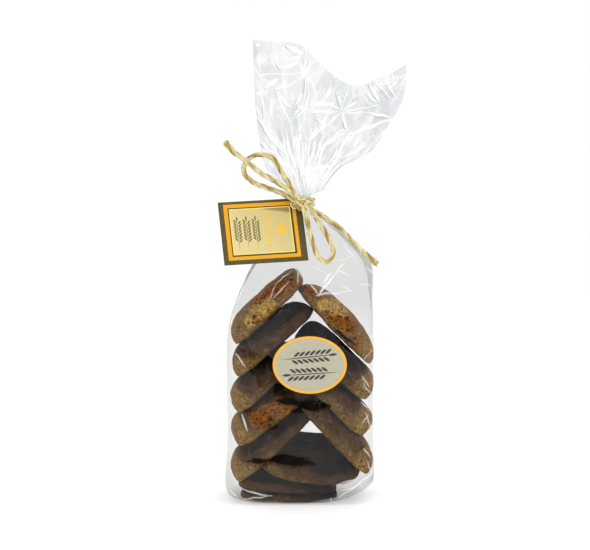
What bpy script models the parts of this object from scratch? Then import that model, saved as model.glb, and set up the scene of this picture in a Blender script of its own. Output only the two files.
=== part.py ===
"""A tied clear bag of biscotti: the bag's filled form, its twine bow, hang tag and oval label.

The bag stands on its flat base. +Z is up, -Y is the front with the label, and the origin is the
middle of the base. Blender works in metres; the sizes below are millimetres.
"""

import math

import bmesh
import bpy
from mathutils import Matrix, Vector

MM = 0.001

# The bag, from the base to the tied neck. Each station is a level section:
# height, half width, half depth, squareness, centre in x, side gusset depth, pleat share.
BODY_STATIONS = (
    (0.0, 42.0, 29.0, 4.8, -7.0, 0.0, 0.0),
    (1.4, 47.6, 32.4, 4.6, -4.2, 0.1, 0.0),
    (5.0, 51.8, 34.3, 4.3, -1.7, 0.4, 0.0),
    (12.0, 53.4, 34.8, 4.0, -0.7, 0.9, 0.0),
    (36.0, 52.3, 34.4, 4.0, -0.6, 1.2, 0.0),
    (66.0, 52.4, 34.6, 4.0, -0.5, 1.4, 0.0),
    (98.0, 52.9, 34.6, 4.0, -0.6, 1.6, 0.0),
    (123.1, 52.6, 33.4, 3.8, 0.0, 2.4, 0.0),
    (140.9, 50.2, 30.6, 3.4, 2.2, 3.8, 0.01),
    (155.7, 47.4, 26.6, 3.0, 5.4, 5.4, 0.03),
    (166.6, 44.4, 22.2, 2.7, 7.6, 6.4, 0.05),
    (178.5, 34.8, 17.0, 2.4, 6.4, 5.6, 0.08),
    (189.3, 23.0, 12.0, 2.2, 4.4, 3.0, 0.10),
    (197.6, 11.8, 8.2, 2.0, 2.8, 0.8, 0.10),
    (202.0, 6.0, 5.6, 2.0, 2.2, 0.0, 0.08),
    (204.6, 4.0, 4.0, 2.0, 1.9, 0.0, 0.08),
    (207.6, 3.7, 3.7, 2.0, 1.8, 0.0, 0.08),
    (212.1, 3.7, 3.7, 2.0, 1.8, 0.0, 0.08),
)
BODY_SECTIONS = 31
PLEATS = 11
PLEAT_SHARE = 0.08  # of the neck's radius
GUSSET_SPREAD = 0.34  # how much of the depth the sunken side gusset takes up
RING_POINTS = 80

# The film's bottom corners stand off the table: where each side starts to rise, and its slope.
RIGHT_LIFT_FROM = 19.0
RIGHT_LIFT_SLOPE = 0.24
LEFT_LIFT_FROM = -34.0
LEFT_LIFT_SLOPE = 0.22
LIFT_FADES_AT = 44.0  # the height where the sections are level again

# The flared top above the neck, as its four edges seen from the front: x and z.
NECK_HEIGHT = 212.1
NECK_X = 1.8
NECK_RADIUS = 3.7
FLARE_LEFT = (
    (-1.9, 212.1),
    (-4.2, 214.3),
    (-8.8, 216.2),
    (-14.6, 219.0),
    (-21.8, 224.4),
    (-26.2, 234.8),
    (-30.0, 259.6),
    (-32.2, 286.3),
    (-33.3, 320.3),
)
FLARE_RIGHT = (
    (5.5, 212.1),
    (8.0, 213.8),
    (12.6, 214.6),
    (18.0, 217.7),
    (22.8, 224.2),
    (26.8, 231.8),
    (37.0, 236.8),
    (49.6, 243.7),
    (58.5, 258.4),
    (67.2, 272.4),
    (71.4, 285.3),
    (72.0, 302.7),
)
FLARE_MOUTH = (
    (-33.3, 320.3),
    (-19.0, 318.8),
    (-4.5, 318.1),
    (3.0, 314.5),
    (12.4, 304.5),
    (24.6, 294.2),
    (35.0, 288.8),
    (44.0, 288.8),
    (52.0, 292.8),
    (62.0, 296.7),
    (72.0, 302.7),
)
FLARE_SECTIONS = 20
FLARE_CROWDING = 1.15  # the sections lie closer together near the neck
FLARE_THICKNESS = ((0.0, 7.4), (0.18, 8.4), (0.5, 6.0), (1.0, 4.4))  # by share of the height
FLARE_EDGE_STEPS = 24
FLARE_FLATTENING = 1.5  # how fast the round neck turns into a flat leaf
LEAF_ROUNDNESS = 0.5
CURVE_FINE_STEPS = 24
HALVINGS = 30

# How the flared film swings to the front and back across its width at the mouth.
SWING = 12.0
SWING_GROWTH = 1.3  # the power of its growth from the neck up
SWING_FOLD_AT = 0.34  # the share of the width where the side gusset folds sharply
SWING_FOLD_SLOPE = 2.6
SWING_WAVES = ((0.42, 1.4, 2.2), (0.16, 4.6, 0.7))  # share, cycles across and phase

# The oval label on the front of the bag.
LABEL_CENTRE = (5.9, 97.7)
LABEL_HALF_SIZE = (25.6, 20.0)
LABEL_THICKNESS = 0.4
LABEL_RINGS = 6
LABEL_SIDES = 48
TOUCHING_GAP = 0.3

# The hang tag: a card held by the twine at its upper right corner, leaning out at its foot.
TAG_SIZE = (57.9, 46.2)
TAG_THICKNESS = 0.7
TAG_CORNER = (-0.3, -10.5, 210.8)
TAG_ALONG = (0.985, 0.166, 0.048)
TAG_DOWN = (0.115, -0.420, -0.900)
TAG_HOLE_INSET = 5.0
TAG_HOLE_RADIUS = 2.7
TAG_HOLE_SIDES = 24
PUNCH_DEPTH = 6.0

# The twine: turns round the neck, a knot in front of them, two loops and two loose ends.
TWINE_RADIUS = 1.9
TWINE_TURN_HEIGHTS = (207.3, 209.9)
TWINE_TURN_RADIUS = 6.4
TWINE_TURN_TILT = math.radians(-10.0)
TWINE_TURN_SIDES = 28
KNOT_CENTRE = (-0.6, -17.6, 207.6)
KNOT_HALF_SIZE = (5.2, 3.8, 4.9)
KNOT_SEGMENTS = (20, 12)
UPPER_LOOP = (
    (-1.4, -17.8, 209.2),
    (-8.3, -18.6, 220.8),
    (-12.4, -18.5, 227.3),
    (-15.7, -18.0, 233.7),
    (-20.6, -17.5, 239.0),
    (-26.6, -17.0, 241.1),
    (-33.0, -16.5, 240.1),
    (-37.9, -16.0, 235.8),
    (-39.6, -15.6, 230.1),
    (-36.8, -15.6, 225.1),
    (-30.6, -16.0, 220.8),
    (-22.6, -16.5, 217.8),
    (-14.3, -17.0, 215.0),
    (-3.4, -17.6, 208.8),
)
UPPER_END = (
    (-1.0, -18.6, 208.9),
    (-9.4, -21.2, 217.2),
    (-17.9, -22.6, 222.9),
    (-28.0, -22.8, 228.8),
    (-38.2, -22.2, 237.3),
    (-46.0, -20.6, 242.9),
    (-51.8, -19.0, 249.2),
)
LOWER_LOOP = (
    (0.6, -18.2, 206.5),
    (4.1, -21.2, 195.8),
    (6.4, -25.0, 186.2),
    (8.8, -28.0, 178.2),
    (12.2, -30.2, 171.4),
    (17.0, -31.2, 168.0),
    (20.8, -31.0, 171.0),
    (21.8, -29.4, 176.5),
    (19.0, -26.8, 183.6),
    (14.4, -23.5, 191.4),
    (8.8, -20.4, 200.2),
    (1.8, -18.2, 207.1),
)
LOWER_END = (
    (1.0, -17.6, 207.2),
    (10.2, -17.6, 202.0),
    (17.8, -17.6, 196.8),
    (26.3, -17.8, 190.9),
    (34.2, -18.4, 182.6),
    (42.6, -19.2, 174.2),
    (51.4, -20.2, 166.9),
)
TAG_STRAND = (
    (-1.6, -18.4, 207.3),
    (-3.6, -16.6, 206.3),
    (-4.7, -13.9, 205.8),
    (-4.9, -10.5, 206.4),
    (-3.2, -5.4, 207.7),
)
NECK_STRAND = (
    (1.2, -18.0, 207.8),
    (4.0, -15.8, 208.1),
    (6.0, -12.2, 208.1),
    (6.6, -8.6, 207.8),
    (5.4, -5.6, 207.6),
)
CREASE_ANGLE = math.radians(50.0)
STRAND_STEP = 3.0
STRAND_SIDES = 10

# Colours are linear red, green and blue, with roughness.
FINISHES = {
    "bag": ((0.80, 0.81, 0.82), 0.15),
    "label": ((0.48, 0.44, 0.33), 0.55),
    "tag": ((0.72, 0.60, 0.26), 0.35),
    "twine": ((0.64, 0.52, 0.27), 0.70),
}


def clear_scene():
    for obj in list(bpy.data.objects):
        bpy.data.objects.remove(obj)


def make_collection(name):
    collection = bpy.data.collections.new(name)
    bpy.context.scene.collection.children.link(collection)
    return collection


def make_material(name):
    colour, roughness = FINISHES[name]
    material = bpy.data.materials.new(name)
    material.use_nodes = True
    shader = material.node_tree.nodes["Principled BSDF"]
    shader.inputs["Base Color"].default_value = (*colour, 1.0)
    shader.inputs["Roughness"].default_value = roughness
    shader.inputs["Metallic"].default_value = 0.0
    return material


def add_object(name, mesh, collection, finish=None):
    obj = bpy.data.objects.new(name, mesh)
    collection.objects.link(obj)
    if finish:
        obj.data.materials.append(make_material(finish))
    return obj


def catmull_rom(before, start, end, after, share):
    """The point at this share of the way from start to end, on a curve through all four."""
    square, cube = share * share, share * share * share
    return tuple(
        0.5
        * (
            2.0 * b
            + (c - a) * share
            + (2.0 * a - 5.0 * b + 4.0 * c - d) * square
            + (3.0 * b - a - 3.0 * c + d) * cube
        )
        for a, b, c, d in zip(before, start, end, after)
    )


def curve_point(stations, share):
    """The point at this share, 0 to 1 of the stations, on a smooth curve through them."""
    place = min(max(share, 0.0), 1.0) * (len(stations) - 1)
    index = min(int(place), len(stations) - 2)
    before = stations[max(index - 1, 0)]
    after = stations[min(index + 2, len(stations) - 1)]
    return catmull_rom(before, stations[index], stations[index + 1], after, place - index)


def even_curve(stations, count):
    """count points at even distances along the smooth curve through the stations."""
    fine_steps = CURVE_FINE_STEPS * (len(stations) - 1)
    fine = [curve_point(stations, step / fine_steps) for step in range(fine_steps + 1)]
    lengths = [0.0]
    for first, second in zip(fine, fine[1:]):
        lengths.append(lengths[-1] + math.dist(first, second))
    points = []
    index = 0
    for step in range(count):
        wanted = lengths[-1] * step / (count - 1)
        while index < len(fine) - 2 and lengths[index + 1] < wanted:
            index += 1
        span = lengths[index + 1] - lengths[index]
        share = (wanted - lengths[index]) / span if span > 0.0 else 0.0
        points.append(tuple(a + (b - a) * share for a, b in zip(fine[index], fine[index + 1])))
    return points


def interpolate(table, value):
    """Linear interpolation in a table of pairs."""
    for (x0, y0), (x1, y1) in zip(table, table[1:]):
        if value <= x1:
            return y0 + (y1 - y0) * (value - x0) / (x1 - x0)
    return table[-1][1]


def signed_power(value, power):
    return math.copysign(abs(value) ** power, value)


def body_station(height):
    """The section at this height, between the stations around it."""
    share_low, share_high = 0.0, 1.0
    for _ in range(HALVINGS):
        share = (share_low + share_high) / 2.0
        if curve_point(BODY_STATIONS, share)[0] < height:
            share_low = share
        else:
            share_high = share
    return curve_point(BODY_STATIONS, share_low)


def corner_lift(x, height):
    """How far a point of a low section is raised at this x."""
    right = max(x - RIGHT_LIFT_FROM, 0.0) * RIGHT_LIFT_SLOPE
    left = max(LEFT_LIFT_FROM - x, 0.0) * LEFT_LIFT_SLOPE
    return (right + left) * max(1.0 - height / LIFT_FADES_AT, 0.0)


def body_point(station, turn):
    """A point of a level section. turn runs 0 to 1 from the left side over the front."""
    height, half_width, half_depth, squareness, centre, gusset, pleat = station
    angle = 2.0 * math.pi * turn
    across, deep = -math.cos(angle), -math.sin(angle)
    ripple = 1.0 + pleat * math.cos(PLEATS * angle)
    x = half_width * signed_power(across, 2.0 / squareness) * ripple
    y = half_depth * signed_power(deep, 2.0 / squareness) * ripple
    x -= math.copysign(gusset * math.exp(-((deep / GUSSET_SPREAD) ** 2)), across)
    return (centre + x, y, height + corner_lift(centre + x, height))


def film_swing(across):
    """How the flared film swings forward and back across its width, about -1 to 1."""
    fold = 1.0 - SWING_FOLD_SLOPE * abs(across - SWING_FOLD_AT)
    waves = [
        size * math.sin(2.0 * math.pi * cycles * across + phase)
        for size, cycles, phase in SWING_WAVES
    ]
    return fold + sum(waves)


def flare_edges(share, left, right, mouth, across):
    """A point of the flare seen from the front, from its four edges."""
    neck_x = NECK_X - NECK_RADIUS + 2.0 * NECK_RADIUS * across
    left_point = curve_point(left, share)
    right_point = curve_point(right, share)
    mouth_point = curve_point(mouth, across)
    neck_point = (neck_x, NECK_HEIGHT)
    corners = (left[0], right[0], left[-1], right[-1])
    found = []
    for k in range(2):
        sides = (1.0 - across) * left_point[k] + across * right_point[k]
        ends = (1.0 - share) * neck_point[k] + share * mouth_point[k]
        low = (1.0 - across) * corners[0][k] + across * corners[1][k]
        high = (1.0 - across) * corners[2][k] + across * corners[3][k]
        found.append(sides + ends - (1.0 - share) * low - share * high)
    return found


def flare_point(share, turn, left, right, mouth):
    """A point of the flare. share runs 0 to 1 from the neck to the mouth."""
    angle = 2.0 * math.pi * turn
    across = (1.0 - math.cos(angle)) / 2.0
    x, z = flare_edges(share, left, right, mouth, across)
    swing = SWING * film_swing(across) * share**SWING_GROWTH
    roundness = max(1.0 - FLARE_FLATTENING * share, LEAF_ROUNDNESS)
    half = interpolate(FLARE_THICKNESS, share) / 2.0
    pleat = 1.0 + PLEAT_SHARE * math.cos(PLEATS * angle) * (1.0 - share)
    y = swing - half * signed_power(math.sin(angle), roundness) * pleat
    return (x, y, z)


def join_rings(mesh, rings):
    for lower, upper in zip(rings, rings[1:]):
        for k in range(len(lower)):
            after = (k + 1) % len(lower)
            mesh.faces.new((lower[k], lower[after], upper[after], upper[k]))


def close_ring(mesh, ring):
    """Bridges the front half of an end ring to its back half."""
    last = len(ring) // 2
    for k in range(last):
        front, front_next = ring[k], ring[k + 1]
        back, back_next = ring[-k % len(ring)], ring[-(k + 1) % len(ring)]
        corners = list(dict.fromkeys((front, front_next, back_next, back)))
        mesh.faces.new(corners)


def make_bag(collection):
    turns = [k / RING_POINTS for k in range(RING_POINTS)]
    stations = even_curve(BODY_STATIONS, BODY_SECTIONS)
    left = even_curve(FLARE_LEFT, FLARE_EDGE_STEPS)
    right = even_curve(FLARE_RIGHT, FLARE_EDGE_STEPS)
    mouth = even_curve(FLARE_MOUTH, FLARE_EDGE_STEPS)
    mesh = bmesh.new()
    rings = []
    for station in stations:
        rings.append([mesh.verts.new(Vector(body_point(station, t)) * MM) for t in turns])
    for section in range(1, FLARE_SECTIONS + 1):
        share = (section / FLARE_SECTIONS) ** FLARE_CROWDING
        points = [flare_point(share, t, left, right, mouth) for t in turns]
        rings.append([mesh.verts.new(Vector(p) * MM) for p in points])
    join_rings(mesh, rings)
    close_ring(mesh, rings[0])
    close_ring(mesh, rings[-1])
    bmesh.ops.recalc_face_normals(mesh, faces=mesh.faces)
    data = bpy.data.meshes.new("bag")
    mesh.to_mesh(data)
    mesh.free()
    data.shade_smooth()
    return add_object("bag", data, collection, "bag")


def front_of_bag(x, height):
    """The y of the bag's smooth front at this place."""
    _, half_width, half_depth, squareness, centre, _, _ = body_station(height)
    share = min(abs(x - centre) / half_width, 1.0)
    return -half_depth * (1.0 - share**squareness) ** (1.0 / squareness)


def make_label(collection):
    """An oval that follows the bag's front, thickened outwards."""
    mesh = bmesh.new()
    rings = []
    for ring in range(LABEL_RINGS + 1):
        reach = ring / LABEL_RINGS
        count = LABEL_SIDES if ring else 1
        points = []
        for side in range(count):
            angle = 2.0 * math.pi * side / LABEL_SIDES
            x = LABEL_CENTRE[0] + reach * LABEL_HALF_SIZE[0] * math.cos(angle)
            z = LABEL_CENTRE[1] + reach * LABEL_HALF_SIZE[1] * math.sin(angle)
            y = front_of_bag(x, z) - TOUCHING_GAP
            points.append(mesh.verts.new(Vector((x, y, z)) * MM))
        rings.append(points)
    centre = rings[0][0]
    for side in range(LABEL_SIDES):
        after = (side + 1) % LABEL_SIDES
        mesh.faces.new((centre, rings[1][side], rings[1][after]))
    join_rings(mesh, rings[1:])
    bmesh.ops.recalc_face_normals(mesh, faces=mesh.faces)
    if mesh.faces[0].normal.y > 0.0:
        bmesh.ops.reverse_faces(mesh, faces=mesh.faces)
    data = bpy.data.meshes.new("oval_label")
    mesh.to_mesh(data)
    mesh.free()
    label = add_object("oval_label", data, collection, "label")
    shell = label.modifiers.new("thickness", "SOLIDIFY")
    shell.thickness = LABEL_THICKNESS * MM
    shell.offset = 1.0
    return label


def make_tag(collection, cutters):
    """A card with a punched hole, near the corner that the twine holds."""
    along, down = Vector(TAG_ALONG).normalized(), Vector(TAG_DOWN)
    down = (down - along * down.dot(along)).normalized()
    outward = down.cross(along).normalized()
    width, height = TAG_SIZE
    corner = Vector(TAG_CORNER)
    mesh = bmesh.new()
    bmesh.ops.create_cube(mesh, size=1.0)
    for vert in mesh.verts:
        vert.co = Vector((vert.co.x * width, vert.co.y * height, vert.co.z * TAG_THICKNESS)) * MM
    data = bpy.data.meshes.new("hang_tag")
    mesh.to_mesh(data)
    mesh.free()
    tag = add_object("hang_tag", data, collection, "tag")
    centre = corner - along * (width / 2.0) + down * (height / 2.0)
    tag.matrix_world = frame_matrix(centre, along, -down, outward)

    hole = corner + (down - along) * TAG_HOLE_INSET
    mesh = bmesh.new()
    bmesh.ops.create_cone(
        mesh,
        cap_ends=True,
        segments=TAG_HOLE_SIDES,
        radius1=TAG_HOLE_RADIUS * MM,
        radius2=TAG_HOLE_RADIUS * MM,
        depth=PUNCH_DEPTH * MM,
    )
    data = bpy.data.meshes.new("tag_hole_cutter")
    mesh.to_mesh(data)
    mesh.free()
    cutter = add_object("tag_hole_cutter", data, cutters)
    cutter.matrix_world = frame_matrix(hole, along, -down, outward)
    cutter.hide_render = True
    cutter.display_type = "WIRE"
    punch = tag.modifiers.new("punched_hole", "BOOLEAN")
    punch.operation = "DIFFERENCE"
    punch.solver = "EXACT"
    punch.object = cutter
    return tag


def frame_matrix(centre, x_axis, y_axis, z_axis):
    """A matrix with these axes, at a centre in millimetres."""
    matrix = Matrix((x_axis, y_axis, z_axis)).transposed().to_4x4()
    matrix.translation = centre * MM
    return matrix


def add_strand(name, stations, collection):
    """A round strand of twine through these stations, as a closed mesh."""
    length = sum(math.dist(a, b) for a, b in zip(stations, stations[1:]))
    points = even_curve(stations, round(length / STRAND_STEP) + 2)
    return tube(name, points, False, collection)


def tube(name, points, cyclic, collection):
    curve = bpy.data.curves.new(name, "CURVE")
    curve.dimensions = "3D"
    curve.bevel_depth = TWINE_RADIUS * MM
    curve.bevel_resolution = STRAND_SIDES // 2 - 2
    curve.use_fill_caps = True
    spline = curve.splines.new("POLY")
    spline.points.add(len(points) - 1)
    for spline_point, point in zip(spline.points, points):
        spline_point.co = (*(value * MM for value in point), 1.0)
    spline.use_cyclic_u = cyclic
    guide = bpy.data.objects.new(name + "_curve", curve)
    collection.objects.link(guide)
    bpy.context.view_layer.update()
    graph = bpy.context.evaluated_depsgraph_get()
    data = bpy.data.meshes.new_from_object(guide.evaluated_get(graph))
    bpy.data.objects.remove(guide)
    mesh = bmesh.new()
    mesh.from_mesh(data)
    bmesh.ops.remove_doubles(mesh, verts=mesh.verts, dist=0.01 * MM)
    bmesh.ops.recalc_face_normals(mesh, faces=mesh.faces)
    mesh.to_mesh(data)
    mesh.free()
    return add_object(name, data, collection)


def neck_turn(height):
    """One turn of twine round the neck, tilted a little."""
    points = []
    for side in range(TWINE_TURN_SIDES):
        angle = 2.0 * math.pi * side / TWINE_TURN_SIDES
        x = TWINE_TURN_RADIUS * math.cos(angle)
        y = TWINE_TURN_RADIUS * math.sin(angle)
        points.append((NECK_X + x, y, height + math.tan(TWINE_TURN_TILT) * x))
    return points


def make_twine(collection, pieces):
    """The turns, knot, loops and loose ends, joined as the one piece of twine they are."""
    knot_mesh = bmesh.new()
    around, upright = KNOT_SEGMENTS
    bmesh.ops.create_uvsphere(knot_mesh, u_segments=around, v_segments=upright, radius=1.0)
    for vert in knot_mesh.verts:
        scaled = [vert.co[k] * KNOT_HALF_SIZE[k] + KNOT_CENTRE[k] for k in range(3)]
        vert.co = Vector(scaled) * MM
    data = bpy.data.meshes.new("twine")
    knot_mesh.to_mesh(data)
    knot_mesh.free()
    twine = add_object("twine", data, collection, "twine")
    for index, height in enumerate(TWINE_TURN_HEIGHTS):
        tube(f"turn_{index}", neck_turn(height), True, pieces)
    strands = {
        "upper_loop": UPPER_LOOP,
        "upper_end": UPPER_END,
        "lower_loop": LOWER_LOOP,
        "lower_end": LOWER_END,
        "tag_strand": TAG_STRAND,
        "neck_strand": NECK_STRAND,
    }
    for name, stations in strands.items():
        add_strand(name, stations, pieces)
    union = twine.modifiers.new("one_piece", "BOOLEAN")
    union.operation = "UNION"
    union.operand_type = "COLLECTION"
    union.collection = pieces
    union.solver = "EXACT"
    apply_modifiers(twine)
    for piece in list(pieces.objects):
        bpy.data.objects.remove(piece)
    bpy.data.collections.remove(pieces)
    twine.data.shade_smooth()
    twine.data.set_sharp_from_angle(angle=CREASE_ANGLE)
    return twine


def apply_modifiers(obj):
    bpy.context.view_layer.update()
    graph = bpy.context.evaluated_depsgraph_get()
    data = bpy.data.meshes.new_from_object(obj.evaluated_get(graph))
    obj.modifiers.clear()
    obj.data = data


def main():
    clear_scene()
    parts = make_collection("biscotti_bag")
    cutters = make_collection("cutters")
    make_bag(parts)
    make_label(parts)
    make_tag(parts, cutters)
    make_twine(parts, make_collection("twine_pieces"))


main()
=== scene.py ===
"""The looks of a tied clear bag of biscotti: film, biscuits, twine, hang tag and oval label."""

import math
import random
from typing import NamedTuple

import bmesh
import bpy
import numpy as np
from mathutils import Matrix, Vector, noise


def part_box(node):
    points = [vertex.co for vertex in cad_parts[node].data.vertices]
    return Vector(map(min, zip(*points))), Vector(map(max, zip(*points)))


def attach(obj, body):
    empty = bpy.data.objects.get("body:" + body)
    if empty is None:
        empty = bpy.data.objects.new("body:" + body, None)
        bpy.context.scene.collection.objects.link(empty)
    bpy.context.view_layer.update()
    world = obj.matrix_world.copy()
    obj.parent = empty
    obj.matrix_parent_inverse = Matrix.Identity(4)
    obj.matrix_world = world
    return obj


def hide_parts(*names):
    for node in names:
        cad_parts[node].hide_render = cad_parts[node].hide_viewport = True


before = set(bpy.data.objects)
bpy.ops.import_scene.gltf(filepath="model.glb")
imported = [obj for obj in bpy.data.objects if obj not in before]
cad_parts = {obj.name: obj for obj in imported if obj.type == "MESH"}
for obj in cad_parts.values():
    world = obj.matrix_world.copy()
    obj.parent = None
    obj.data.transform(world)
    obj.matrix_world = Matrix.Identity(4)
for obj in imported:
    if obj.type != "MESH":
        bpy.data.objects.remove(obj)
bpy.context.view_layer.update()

MM = 0.001
SEED = 11
CURVE_STEPS = 20  # between two stations of a curve

# The camera stands level with the upper half of the bag and looks slightly down.
CAMERA_TARGET = (-4.2, 0.0, 156.5)
CAMERA_DISTANCE = 1300.0
CAMERA_ELEVATION = math.radians(5.0)
VIEW_WIDTH = 413.0  # what the frame spans at the target
FLOOR_HALF = 30.0  # in metres, like its drop and the lights' places
FLOOR_DROP = 0.0002
FLOOR_GLOW = 0.19
LIGHTS_AIM = (0.0, 0.0, 0.15)

# The oval label, from its solid.
LABEL_LOW, LABEL_HIGH = (np.array(corner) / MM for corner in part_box("oval_label"))
LABEL_MIDDLE = (LABEL_LOW + LABEL_HIGH) / 2.0
LABEL_HALF = (LABEL_HIGH - LABEL_LOW) / 2.0
LABEL_RIM = (0.35, 1.75, 2.1)  # its outer edge, its inner edge and the edge of the paper inside it
PRINT_SOFTNESS = 0.12

# The hang tag: its upper right corner and the directions along its edges.
TAG_CORNER = Vector((-0.3, -10.5, 210.8))
TAG_ALONG = Vector((0.985, 0.166, 0.048)).normalized()
TAG_DOWN = Vector((0.115, -0.420, -0.900))
TAG_SIZE = (57.9, 46.2)

# The twine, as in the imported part.
TWINE_TURN_HEIGHTS = (207.3, 209.9)
TWINE_TURN_RADIUS = 6.4
TWINE_TURN_TILT = math.radians(-10.0)
TWINE_STRANDS = 3
STRAND_RADIUS = 1.06
STRAND_OFFSET = 0.82
STRAND_UNEVENNESS = 0.22
STRAND_STEP = 0.6  # along a route
TWIST_LENGTH = 19.0
GOLDEN_SHARE = (0.00, 0.20, 0.75)  # how golden-brown each strand is
NECK_X = 1.8
TURN_SIDES = 64
KNOT_CENTRE = (-0.6, -17.6, 207.6)
KNOT_SIDES = 40
KNOT_RINGS = (  # the turn, half sizes and lean of the rings of twine that make the knot
    (0.5, (4.0, 2.6), 0.3),
    (-0.7, (3.6, 2.4), -0.4),
    (1.5, (3.9, 2.5), 0.9),
    (2.4, (3.4, 2.3), 0.2),
)
KNOT_THINNING = 0.85
END_WIDENING = 1.45
UPPER_LOOP = (
    (-1.4, -17.8, 209.2), (-8.3, -18.6, 220.8), (-12.4, -18.5, 227.3), (-15.7, -18.0, 233.7),
    (-20.6, -17.5, 239.0), (-26.6, -17.0, 241.1), (-33.0, -16.5, 240.1), (-37.9, -16.0, 235.8),
    (-39.6, -15.6, 230.1), (-36.8, -15.6, 225.1), (-30.6, -16.0, 220.8), (-22.6, -16.5, 217.8),
    (-14.3, -17.0, 215.0), (-3.4, -17.6, 208.8),
)
UPPER_END = (
    (-1.0, -18.6, 208.9), (-9.4, -21.2, 217.2), (-17.9, -22.6, 222.9), (-28.0, -22.8, 228.8),
    (-38.2, -22.2, 237.3), (-46.0, -20.6, 242.9), (-51.8, -19.0, 249.2),
)
LOWER_LOOP = (
    (0.6, -18.2, 206.5), (4.1, -21.2, 195.8), (6.4, -25.0, 186.2), (8.8, -28.0, 178.2),
    (12.2, -30.2, 171.4), (17.0, -31.2, 168.0), (20.8, -31.0, 171.0), (21.8, -29.4, 176.5),
    (19.0, -26.8, 183.6), (14.4, -23.5, 191.4), (8.8, -20.4, 200.2), (1.8, -18.2, 207.1),
)
LOWER_END = (
    (1.0, -17.6, 207.2), (10.2, -17.6, 202.0), (17.8, -17.6, 196.8), (26.3, -17.8, 190.9),
    (34.2, -18.4, 182.6), (42.6, -19.2, 174.2), (51.4, -20.2, 166.9),
)
TAG_STRAND = (
    (-1.6, -18.4, 207.3), (-3.6, -16.6, 206.3), (-4.7, -13.9, 205.8), (-4.9, -10.5, 206.4),
    (-3.2, -5.4, 207.7),
)
NECK_STRAND = (
    (1.2, -18.0, 207.8), (4.0, -15.8, 208.1), (6.0, -12.2, 208.1), (6.6, -8.6, 207.8),
    (5.4, -5.6, 207.6),
)


class Biscotto(NamedTuple):
    """Where a biscuit lies, seen from the front, and its shape. outer and inner are x and z."""

    outer: tuple
    inner: tuple
    thickness: tuple  # near the outer end and near the inner end
    bluntness: tuple = (3.6, 3.6)  # of the same ends; a larger number is blunter
    overhang: float = 0.0  # how far its crown reaches past its base at the inner end
    lean: float = 0.0  # degrees that its far side is raised
    crown_shade: float = 0.7  # how much painted shade darkens it, most at its crown and inner end
    lighter_end: float = 0.8  # how much less painted shade, and how much pale golden tone, its outer end gets


BISCOTTI = {
    "left_1": Biscotto(
        (-43.6, 109.0), (-1.5, 147.5), (16.5, 15.5), (2.0, 9.0), 10.0, crown_shade=0.02, lighter_end=0.2
    ),
    "right_1": Biscotto((46.3, 94.5), (-1.9, 144.9), (16.0, 16.5), (2.2, 3.0), crown_shade=0.02),
    "left_2": Biscotto((-42.4, 86.0), (8.5, 129.8), (17.5, 18.0), (4.6, 4.5), crown_shade=0.74, lighter_end=0.5),
    "right_2": Biscotto(
        (44.3, 69.6), (-3.7, 107.5), (18.0, 23.0), (5.0, 9.0), 5.0, crown_shade=0.82, lighter_end=0.95
    ),
    "left_3": Biscotto((-41.6, 60.1), (1.1, 101.4), (18.5, 18.5), (6.0, 4.0), crown_shade=0.75, lighter_end=0.95),
    "right_3": Biscotto((41.6, 43.2), (-5.4, 90.9), (20.0, 13.5), (6.0, 4.0), crown_shade=0.45),
    "left_4": Biscotto((-41.6, 36.4), (5.7, 72.0), (20.0, 20.0), (6.0, 9.0), 3.0, crown_shade=0.60),
    "right_4": Biscotto((44.6, 17.6), (-2.4, 66.2), (15.5, 15.5), (4.6, 12.0), crown_shade=0.45),
    "left_5": Biscotto((-42.2, 11.2), (7.7, 57.2), (18.5, 18.0), (5.2, 12.0), 5.0, crown_shade=0.80),
    "low_1": Biscotto((-28.0, 26.8), (39.5, 18.3), (16.5, 16.5), lean=21.5, crown_shade=0.70, lighter_end=0.3),
    "low_2": Biscotto((-42.6, 8.2), (24.0, 5.3), (15.0, 9.0), (3.6, 8.0), crown_shade=1.15, lighter_end=0.1),
    "low_3": Biscotto((-40.5, 0.6), (23.8, 0.6), (8.5, 8.5), (2.5, 8.0), crown_shade=1.0, lighter_end=0.1),
}
BISCUIT_DEPTH = 55.0  # from front to back
END_OVERHANG = 1.5
BISCUIT_CUTS = 44  # of each side of the cube that a biscuit is shaped from
PLAN_SQUARENESS = 2.6
LUMPS = ((0.9, 15.0, 7.3), (0.40, 5.5, 3.1), (0.16, 2.2, 5.7))  # height, size and the seed's factor
HOLE_DEPTH = 1.6
UNEVEN_SIZES = (11.0, 4.0)  # of the patches of shade
RIM_HEIGHT = 0.10  # of the thickness
RIM_SHARPNESS = 16.0

# Marks on the crusts that show from the front: x, z and radius, or both ends and the width.
VIVID_PATCHES = (
    (-31, 140, 5), (-25, 145, 7), (-16, 152, 7), (-9, 152, 6),
    (-34, 128, 4), (3, 151, 4), (7, 146, 3), (20, 131, 4),
    (27, 130, 6), (34, 124, 6), (38, 113, 4), (-31, 59, 5),
    (-23, 63, 6), (-14, 67, 6), (-29, 54, 3),
)
PALE_PATCHES = ((-29, 133, 6), (-23, 138, 5), (-35, 127, 4), (15, 138, 4), (22, 136, 5), (29, 132, 3))
# Painted shadow: near-black strokes on the biscuits' fronts where the gaps between them lie in shade.
SHADOW_STROKES = (
    (-4, 69, 19, 68, 9.5), (-22, 30, 9, 29.5, 7.5), (-38, 29, -22, 30.5, 3.5), (-16, 72, 4, 70, 5.0),
    (27, 119, 38, 110, 2.5), (24, 121, 30, 116, 2.0),
)
HOLES = (
    (-32, 130, 1.5), (-29, 127, 0.8), (-27, 131, 0.7), (-21, 59, 1.6),
    (-22, 55, 1.2), (-25, 57, 0.8), (31, 128, 1.1), (37, 115, 1.0),
    (42, 38, 1.1),
)

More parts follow.
